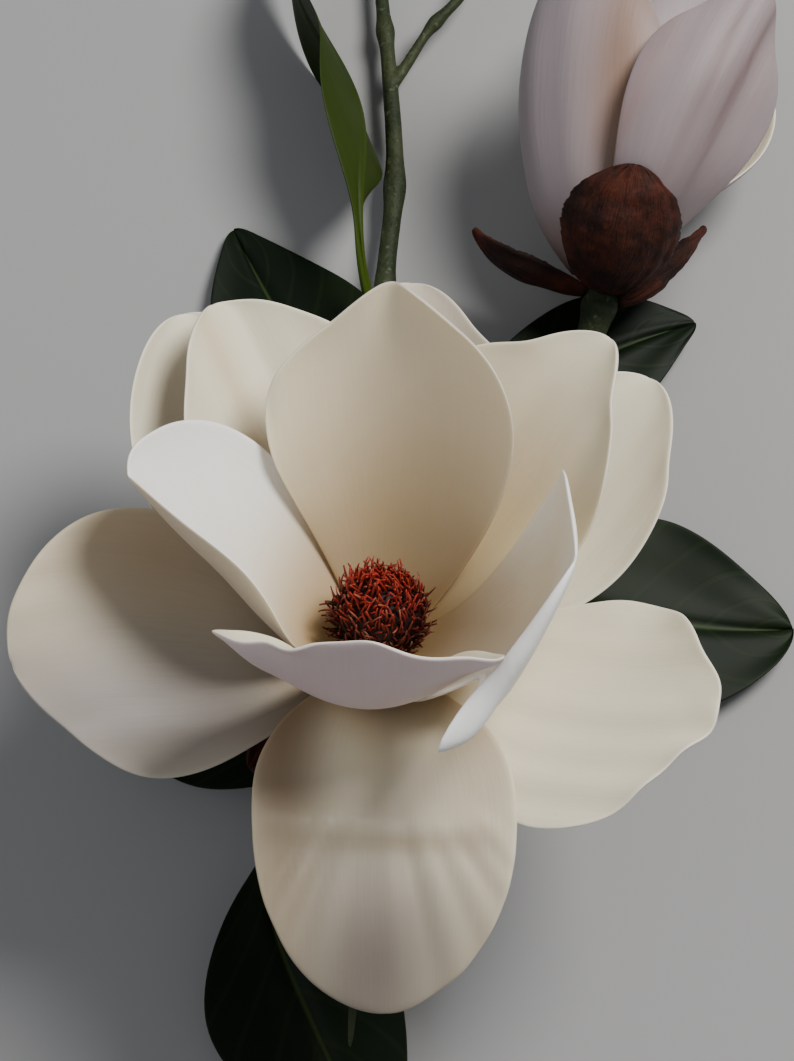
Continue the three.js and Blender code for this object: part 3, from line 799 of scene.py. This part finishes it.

# A patch is a face, the u and t of its middle, how far it reaches along and across, and its tint. Most
# patches are painted shade and painted shadow on the parts of a face that the light reaches less, and those
# with tints above 1 are painted light. The two narrow ones on the front bud petal are dark streaks.
PAINTED_LIGHT_PATCHES = {
    "inner_petal_back": [
        (INNER, 0.75, -0.1, 0.5, 0.8, (0.88, 0.84, 0.82)), (INNER, 0.28, 0, 0.35, 1.5, (0.55, 0.47, 0.36)),
    ],
    "middle_petal_right": [(INNER, 0.35, 0, 0.35, 1.5, (0.74, 0.66, 0.5))],
    "middle_petal_left": [(INNER, 0.75, 0.2, 0.4, 0.12, (0.86, 0.8, 0.72))],
    "inner_petal_front": [(OUTER, 0.5, 0, 3, 3, (1.3, 1.25, 1.28))],
    "inner_petal_left": [
        (OUTER, 0.5, 0, 3, 3, (0.72, 0.63, 0.5)), (INNER, 0.15, 0, 0.3, 1.5, (0.8, 0.68, 0.5)),
    ],
    "inner_petal_right": [(INNER, 0.4, 0.2, 0.6, 0.8, (0.8, 0.7, 0.55))],
    "outer_petal_left": [
        (INNER, 0.6, -0.7, 0.7, 0.6, (0.78, 0.7, 0.64)), (INNER, 0.7, 0.5, 0.9, 0.8, (0.36, 0.35, 0.42)),
    ],
    "outer_petal_front": [
        (INNER, 0.35, -0.8, 0.7, 0.35, (0.46, 0.38, 0.32)), (INNER, 0.88, -0.1, 0.42, 0.8, (0.22, 0.2, 0.22)),
        (INNER, 0.5, 0.75, 0.6, 0.4, (0.74, 0.7, 0.68)), (INNER, 0.58, 0, 0.03, 0.6, (0.82, 0.76, 0.7)),
        (INNER, 0.3, -0.25, 0.25, 0.22, (1.45, 1.45, 1.42)),
    ],
    "outer_petal_back": [(INNER, 0.6, 0, 1, 2, (0.74, 0.7, 0.74))],
    "bud_petal_left": [
        (OUTER, 0.5, 0.6, 0.6, 0.3, (0.8, 0.6, 0.42)), (OUTER, 0.5, -0.2, 1, 0.5, (1.1, 1.1, 1.1)),
    ],
    "bud_petal_front": [
        (OUTER, 0.75, 0.25, 0.35, 0.05, (0.6, 0.52, 0.5)), (OUTER, 0.8, -0.1, 0.3, 0.05, (0.65, 0.58, 0.55)),
        (OUTER, 0.45, -0.8, 0.5, 0.2, (0.8, 0.7, 0.66)), (OUTER, 0.6, 0.2, 0.6, 0.7, (0.75, 0.7, 0.68)),
    ],
}
for name, sheet in {**BLOOM_PETALS, **BUD_PETALS}.items():
    sheet["patches"] = PAINTED_LIGHT_PATCHES.get(name, [])

for name, sheet in BLOOM_PETALS.items():
    piece = sheet_piece(f"{name}_skin", BLOOM, sheet, *BLOOM_PETAL_GRID)
    dress(piece, name, LOOKS.get(name, petal_look))
for name, sheet in BUD_PETALS.items():
    dress(sheet_piece(f"{name}_skin", BUD, sheet, *BUD_PETAL_GRID), name, bud_look)


# ---------------------------------------------------------------- scales


def scale(turn, open, seed, **more):
    base = dict(
        turn=turn, open=open, length=44, width=34, cup=(30, 50, 40, 30), foot=(6.2, -4), rim=0.6,
        shape=SCALE_SHAPE, thickness=SCALE_THICKNESS, foot_thickness=0.8, ragged=0.02,
        relief=[wrinkles(0.6, 6, 0.0, seed), rumple(0.5, 0.12, seed + 1)],
    )
    return {**base, **more}


BLOOM_SCALES = {
    "bloom_scale_left": scale(-50, (100, 104, 106, 104), 31),
    "bloom_scale_right": scale(68, (100, 104, 108, 110), 32),
    "bloom_scale_back": scale(190, (100, 100, 97, 95), 33),
}
BUD_SCALES = {
    "bud_scale_front": scale(
        0, (94, 68, 36, 14), 34, foot=(5.8, -4), length=53, width=47, cup=(30, 60, 60, 50),
        outline=dict(tip_width=0.75),
    ),
    "bud_scale_left": scale(-92, (90, 84, 62, 30), 35, foot=(5.8, -4), width=24),
    "bud_scale_right": scale(88, (76, 38, 26, 18), 36, foot=(5.8, -5), length=40, width=24),
}
scale_look = scale_material()
for place, sheets in ((BLOOM, BLOOM_SCALES), (BUD, BUD_SCALES)):
    for name, sheet in sheets.items():
        dress(sheet_piece(f"{name}_skin", place, sheet, *SCALE_GRID), name, scale_look)


# ---------------------------------------------------------------- leaves


def leaf(turn, length, width, seed, **more):
    base = dict(
        turn=turn, length=length, width=width, open=(80, 92, 97, 94), cup=(0, 14, 14, 8), foot=(0, 0),
        shape=LEAF_SHAPE, thickness=LEAF_THICKNESS, foot_thickness=2.2, rim=0.6,
        relief=[fold(-1.6, 0, 0.07, 0.1), margin_wave(1.2, 2.2, 0.1 * seed), rumple(0.4, 0.2, seed)],
    )
    return {**base, **more}


LEAVES = {
    "leaf_back_left": (ground(-1, 60, 12), leaf(
        -165, 124, 59, 41, open=(86, 96, 96, 93), lean=(0, 11, 10), outline=dict(tip_width=0.2))),
    "leaf_back_right": (ground(2, 84, 13), leaf(
        107, 115, 44, 42, lean=(0, 17, 0), outline=dict(widest=0.65, tip_width=0.25))),
    "leaf_right": (ground(2, 40, 13), leaf(
        88, 130, 68, 43, open=(80, 93, 98, 94), lean=(0, -7, 6), outline=dict(widest=0.6, tip_width=0.35))),
    "leaf_left": (ground(-3, -22, 12), leaf(-106, 92, 38, 44, open=(78, 90, 100, 98))),
    "leaf_front": (ground(-3, -32, 11), leaf(
        -90, 148, 60, 45, open=(94, 94, 93, 94), lean=(-30, 93, 115, 105),
        outline=dict(stalk=0.27, widest=0.44, rise=1.4))),
    "leaf_upright": (ground(-1.5, 133, 13), leaf(
        183, 172, 56, 46, open=(23, 101, 91, 88), lean=(16, -5, 24, -17), roll=(-123, -120, -94, -88),
        outline=dict(stalk=0.2, claw=0.08, widest=0.45, rise=1.6))),
    "leaf_tip_right": (ground(32, 267, 14), leaf(165, 100, 46, 47, open=(84, 92, 97, 94))),
    "leaf_tip_left": (ground(-3, 294, 9), leaf(212, 92, 42, 48, open=(76, 92, 96, 92))),
}
leaf_look = leaf_material(
    "leaf", upper=(0.0035, 0.008, 0.0035), lower=(0.03, 0.03, 0.014), base=(0.045, 0.07, 0.015),
)
young_look = leaf_material(
    "young_leaf", upper=(0.008, 0.018, 0.0015), lower=(0.02, 0.034, 0.004), base=(0.045, 0.075, 0.008),
    veins_at=12,
)
for name, (place, sheet) in LEAVES.items():
    young = name == "leaf_upright"
    look, slot = (young_look, "young_leaf") if young else (leaf_look, "leaf")
    dress(sheet_piece(f"{name}_skin", place, sheet, *LEAF_GRID), name, look)


# ---------------------------------------------------------------- stems

# Each stem runs through its row of points, and has one radius at each of them.
MAIN_STEM = [
    (-13, -188, 4.4), (-9, -109, 7), (-2.6, -45, 11), (0.4, 36, 13), (1, 90, 13),
    (1, 146, 12), (4.3, 188, 11), (2.3, 231, 10), (-0.2, 260, 9), (-3, 302, 8),
]
MAIN_STEM_RADII = [4.4, 4.2, 3.9, 3.7, 3.4, 3.2, 3.1, 2.7, 2.4, 2.2]
BLOOM_STALK = [(0.2, -28, 11.5), (0.2, -24, 18), (0, -16, 38), (0, -2.5, 57), (0, 2.2, 70)]
BLOOM_STALK_RADII = [3.4, 3.4, 3.8, 5, 6]
BUD_STALK = [(0.3, 8, 12.5), (22, 46, 14), (49, 86, 18), (66, 119, 25.5), (72, 137, 33)]
BUD_STALK_RADII = [3, 3.2, 3.6, 4.6, 5.6]
TIP_TWIG = [(2.4, 224, 10), (8.5, 233, 11.5), (16.4, 246, 13), (26, 257, 14), (33, 268, 14)]
TIP_TWIG_RADII = [2.4, 2, 1.7, 1.9, 1.5]
KNOT_SWELLING = 0.9


def ring_tube(centres, radii, sides):
    """Points and faces of a closed tube round a run of centres. Its ends are flat."""
    tangent = unit(np.gradient(centres, axis=0))
    no_tangent = (0.3, 0.2, 1)
    normal = np.cross(tangent[0], no_tangent)
    rings = []
    turn = np.linspace(0, 2 * math.pi, sides, endpoint=False)[:, None]
    for centre, direction, radius in zip(centres, tangent, radii):
        normal = unit(normal - direction * (normal @ direction))
        binormal = np.cross(direction, normal)
        rings.append(centre + radius * (np.cos(turn) * normal + np.sin(turn) * binormal))
    points = np.vstack(rings)
    faces = []
    last = len(centres) - 1
    for i in range(last):
        for j in range(sides):
            k = (j + 1) % sides
            faces.append((i * sides + j, i * sides + k, (i + 1) * sides + k, (i + 1) * sides + j))
    faces.append(tuple(range(sides - 1, -1, -1)))
    faces.append(tuple(last * sides + j for j in range(sides)))
    return points, faces


def gathered(parts):
    """Several (points, faces) as one."""
    points, faces = [], []
    for p, f in parts:
        start = sum(len(x) for x in points)
        points.append(p)
        faces += [tuple(start + i for i in face) for face in f]
    return np.vstack(points), faces


def stem_tube(row, radii, steps, knots=()):
    """A stem along its row of points, swollen at the knots, which are shares of its length."""
    k = np.linspace(0, 1, steps)
    centres = along(row, k)
    radius = along(radii, k)
    for knot in knots:
        radius = radius + KNOT_SWELLING * np.exp(-(((k - knot) * steps / 4) ** 2))
    return ring_tube(centres, radius, STEM_SIDES)


def cone_tube(place, low, high, radii):
    """A tube along a place's axis, between two heights, with its radii evenly spaced."""
    k = np.linspace(0, 1, len(radii))[:, None]
    return ring_tube(place["origin"] + place["axis"] * mix(low, high, k), radii, CONE_SIDES)


def applied(piece):
    """Replaces a piece's mesh by what its modifiers make of it."""
    graph = bpy.context.evaluated_depsgraph_get()
    mesh = bpy.data.meshes.new_from_object(piece.evaluated_get(graph))
    piece.modifiers.clear()
    old = piece.data
    piece.data = mesh
    bpy.data.meshes.remove(old)


def stem_piece():
    """The stems and the two blooms' receptacles, grown into one."""
    parts = [
        stem_tube(MAIN_STEM, MAIN_STEM_RADII, 220, (0.3, 0.46, 0.55, 0.66, 0.84, 0.97)),
        stem_tube(BLOOM_STALK, BLOOM_STALK_RADII, 60),
        stem_tube(BUD_STALK, BUD_STALK_RADII, 90, (0.9,)),
        stem_tube(TIP_TWIG, TIP_TWIG_RADII, 60, (0.55,)),
        cone_tube(BLOOM, RECEPTACLE_TOP - RECEPTACLE_LENGTH, RECEPTACLE_TOP, (6, 6.6, 7.6, 8.4, 8.5)),
        cone_tube(BUD, -7, BUD_RECEPTACLE_TOP, (5.4, 5.8, 6.4, 6.9, 7)),
    ]
    piece = make_mesh("stem_bark", *gathered(parts))
    remesh = piece.modifiers.new("weld", "REMESH")
    remesh.mode = "VOXEL"
    remesh.voxel_size = STEM_VOXEL
    smooth = piece.modifiers.new("smooth", "SMOOTH")
    smooth.iterations = 6
    applied(piece)
    piece.data.polygons.foreach_set("use_smooth", [True] * len(piece.data.polygons))
    return piece


dress(stem_piece(), "stem", bark_material())

TIP_BUD_RADII = (2.2, 2.9, 3.4, 3.5, 3.2, 2.7, 2.1, 1.5, 0.9, 0.3)
tip_bud = make_mesh("tip_bud_skin", *cone_tube(TIP, low=0.3, high=27, radii=TIP_BUD_RADII))
tip_bud.modifiers.new("round", "SUBSURF").levels = 2
applied(tip_bud)
dress(tip_bud, "tip_bud", young_look)


# ---------------------------------------------------------------- cones of stamens


def stamen(place, turn, height, radius, lean, curl, length, height_and_pick, draw):
    """Points, faces and paint of one stamen: a thin tapering strip that curls and sways."""
    out = towards(place, turn)
    sideways = towards(place, turn + 90)
    k = np.linspace(0, 1, STAMEN_POINTS)
    angle = np.radians(lean + curl * k)
    sway = np.radians(draw.uniform(-70, 70)) * k + np.radians(draw.uniform(-15, 15))
    step = np.sin(angle)[:, None] * out + np.cos(angle)[:, None] * place["axis"]
    step = step * np.cos(sway)[:, None] + sideways * np.sin(sway)[:, None]
    start = place["origin"] + place["axis"] * height + out * radius
    centres = start + np.vstack([np.zeros(3), np.cumsum(step[:-1], 0)]) * length / (STAMEN_POINTS - 1)
    points, faces = ring_tube(centres, mix(0.46, 0.22, k) * draw.uniform(0.8, 1.2), STAMEN_SIDES)
    paint = np.column_stack([k, np.full(STAMEN_POINTS, height_and_pick[0]), np.full(STAMEN_POINTS, height_and_pick[1])])
    return points, faces, np.repeat(paint, STAMEN_SIDES, 0)


def cone_piece(name, place, foot, size, count, seed):
    """A cone: a dark core, painted as the shade between its stamens, with stamens set on it in a spiral."""
    draw = np.random.default_rng(seed)
    cone_radius, cone_height = CONE_RADIUS * size, CONE_HEIGHT * size
    core_radii = cone_radius * np.array([0.62, 0.74, 0.86, 0.94, 0.97, 0.96, 0.9, 0.78, 0.58, 0.3])
    core = cone_tube(place, foot, foot + cone_height * 0.94, core_radii)
    parts = [core]
    # The core takes the darkest stamen colour, as painted shade between the stamens.
    paints = [np.zeros((len(core[0]), 3))]
    for i in range(count):
        k = (i + 0.5) / count
        height = foot + cone_height * mix(0.2, 0.95, k)
        radius = cone_radius * 0.95 * math.sqrt(1 - mix(-0.3, 0.995, k) ** 2) - 0.5
        lean = mix(66, 8, k) + draw.uniform(-24, 24)
        length = STAMEN_LENGTH * draw.uniform(0.6, 1.15)
        height_and_pick = (k, draw.uniform(0, 1))
        curl = draw.uniform(-120, 20)
        points, faces, paint = stamen(
            place, i * GOLDEN_ANGLE, height, radius, lean, curl, length, height_and_pick, draw,
        )
        parts.append((points, faces))
        paints.append(paint)
    return make_mesh(name, *gathered(parts), {"place": np.vstack(paints)})


stamen_look = stamen_material()
bloom_cone = cone_piece("stamens_fine", BLOOM, foot=RECEPTACLE_TOP, size=1, count=520, seed=51)
bud_cone = cone_piece("bud_stamens_fine", BUD, foot=BUD_RECEPTACLE_TOP, size=0.8, count=120, seed=52)
dress(bloom_cone, "stamens", stamen_look)
dress(bud_cone, "bud_stamens", stamen_look)


# ---------------------------------------------------------------- floor, light and camera


def make_floor():
    mesh = bpy.data.meshes.new("floor")
    corners = [(x * FLOOR_REACH, y * FLOOR_REACH, 0) for x, y in ((-1, -1), (1, -1), (1, 1), (-1, 1))]
    mesh.from_pydata(corners, [], [(0, 1, 2, 3)])
    floor = bpy.data.objects.new("floor", mesh)
    bpy.context.collection.objects.link(floor)
    mesh.materials.append(floor_material())


def soft_light(name, position, size, power, colour):
    lamp = bpy.data.lights.new(name, "AREA")
    lamp.shape = "DISK"
    lamp.size = size
    lamp.energy = power
    lamp.color = colour
    light = bpy.data.objects.new(name, lamp)
    light.location = position
    light.rotation_euler = (Vector(LIGHT_AIM) - Vector(position)).to_track_quat("-Z", "Y").to_euler()
    bpy.context.collection.objects.link(light)


def make_world(colour, strength):
    world = bpy.data.worlds.new("studio")
    world.use_nodes = True
    backdrop = world.node_tree.nodes["Background"]
    backdrop.inputs["Color"].default_value = (*colour, 1)
    backdrop.inputs["Strength"].default_value = strength
    bpy.context.scene.world = world


def make_camera():
    elevation = math.radians(CAMERA_ELEVATION)
    out = np.array([0, -math.cos(elevation), math.sin(elevation)])
    place = (CAMERA_TARGET + CAMERA_DISTANCE * out - FOOTPRINT_MIDDLE) * MM
    data = bpy.data.cameras.new("camera")
    data.sensor_width = SENSOR
    data.lens = SENSOR * PIXELS_PER_MM * CAMERA_DISTANCE / PHOTO_HEIGHT
    camera = bpy.data.objects.new("camera", data)
    camera.matrix_world = Matrix.Translation(place) @ Matrix.Rotation(math.pi / 2 - elevation, 4, "X")
    bpy.context.collection.objects.link(camera)
    bpy.context.scene.camera = camera


make_floor()
soft_light("key", position=(0.6, 0.35, 1.1), size=0.55, power=21, colour=(1.0, 0.98, 0.95))
soft_light("fill", position=(-0.8, -0.3, 0.9), size=1.0, power=2.2, colour=(0.92, 0.95, 1.0))
make_world(colour=(0.93, 0.96, 1.0), strength=0.27)
make_camera()
